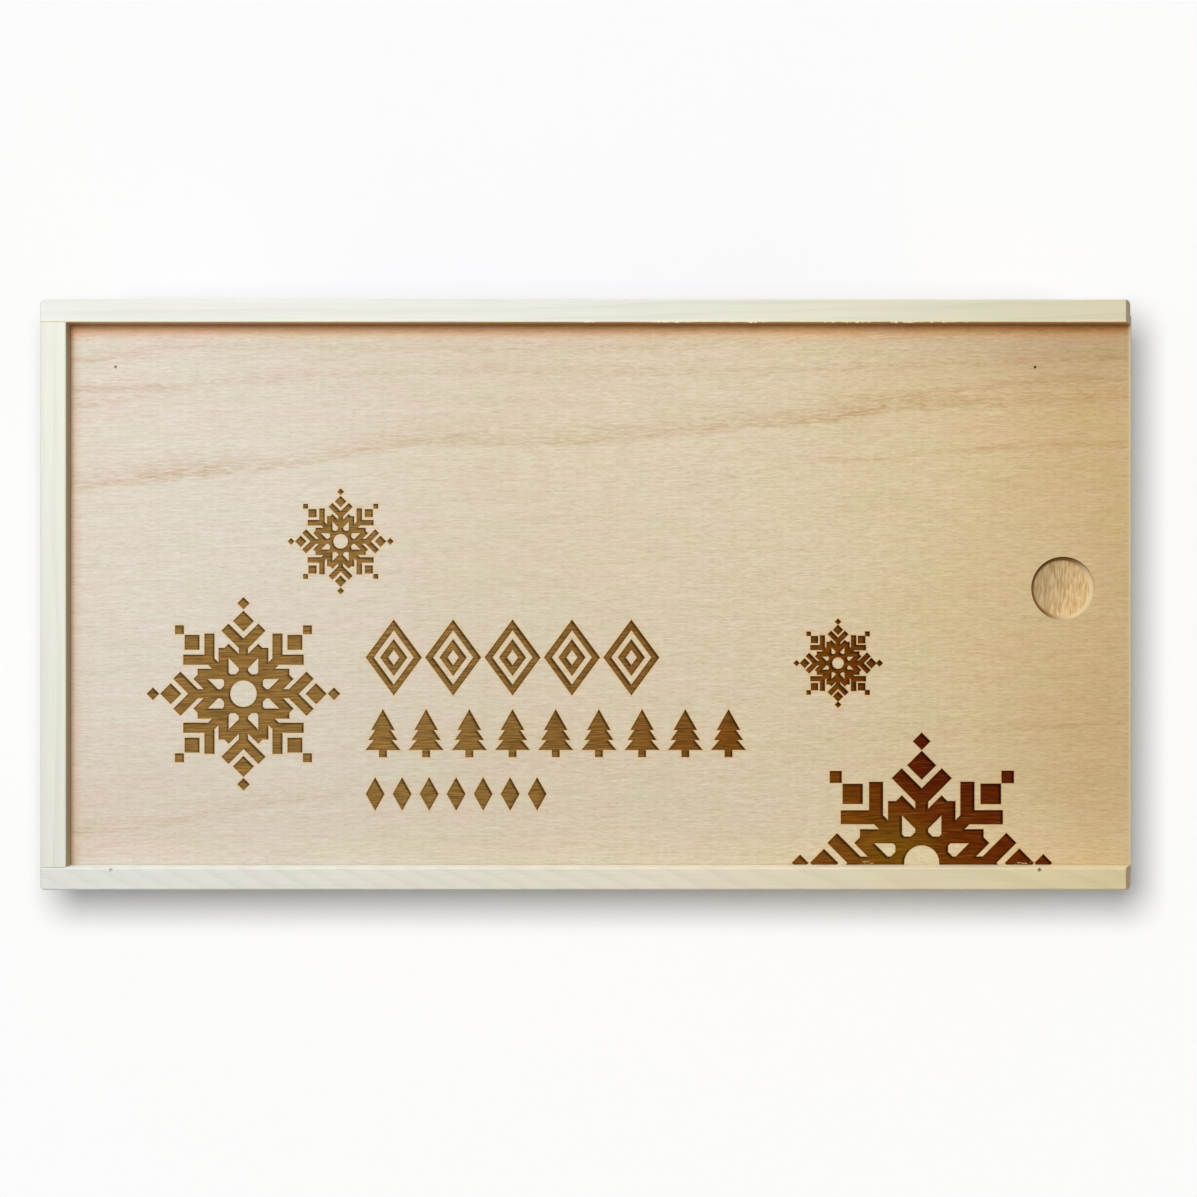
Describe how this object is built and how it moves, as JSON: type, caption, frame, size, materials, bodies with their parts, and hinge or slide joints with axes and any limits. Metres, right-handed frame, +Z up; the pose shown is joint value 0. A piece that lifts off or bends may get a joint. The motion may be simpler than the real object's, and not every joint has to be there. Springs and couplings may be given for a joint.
{
  "type": "wooden gift box",
  "caption": "Shallow rectangular wooden box with a thin engraved lid that slides out of grooves in the side walls at one low end.",
  "frame": {"origin": "middle of the closed box's footprint, on the surface it stands on", "axes": "+X along the box towards the open end, where the lid is drawn out; +Y across the box towards the back wall; +Z up, out of the lid's face"},
  "size_m": [0.3622, 0.195, 0.105],
  "materials": {
    "rail_wood": "sanded, bare pale softwood",
    "lid_ply": "sanded, bare beech-faced plywood with burnt engraving",
    "base_ply": "bare thin plywood",
    "brad_steel": "dull bright wire"
  },
  "bodies": {
    "box": {"side_wall_back": "rail_wood", "side_wall_front": "rail_wood", "end_wall_closed": "rail_wood", "end_wall_open": "rail_wood", "base_panel": "base_ply", "brads_back_closed": "brad_steel", "brads_front_closed": "brad_steel", "brads_back_open": "brad_steel", "brads_front_open": "brad_steel"},
    "lid": {"lid_panel": "lid_ply"}
  },
  "joints": [
    {"name": "lid_slide", "type": "slide", "parent": "box", "child": "lid", "axis": [1, 0, 0], "range_m": [0, 0.36]}
  ]
}
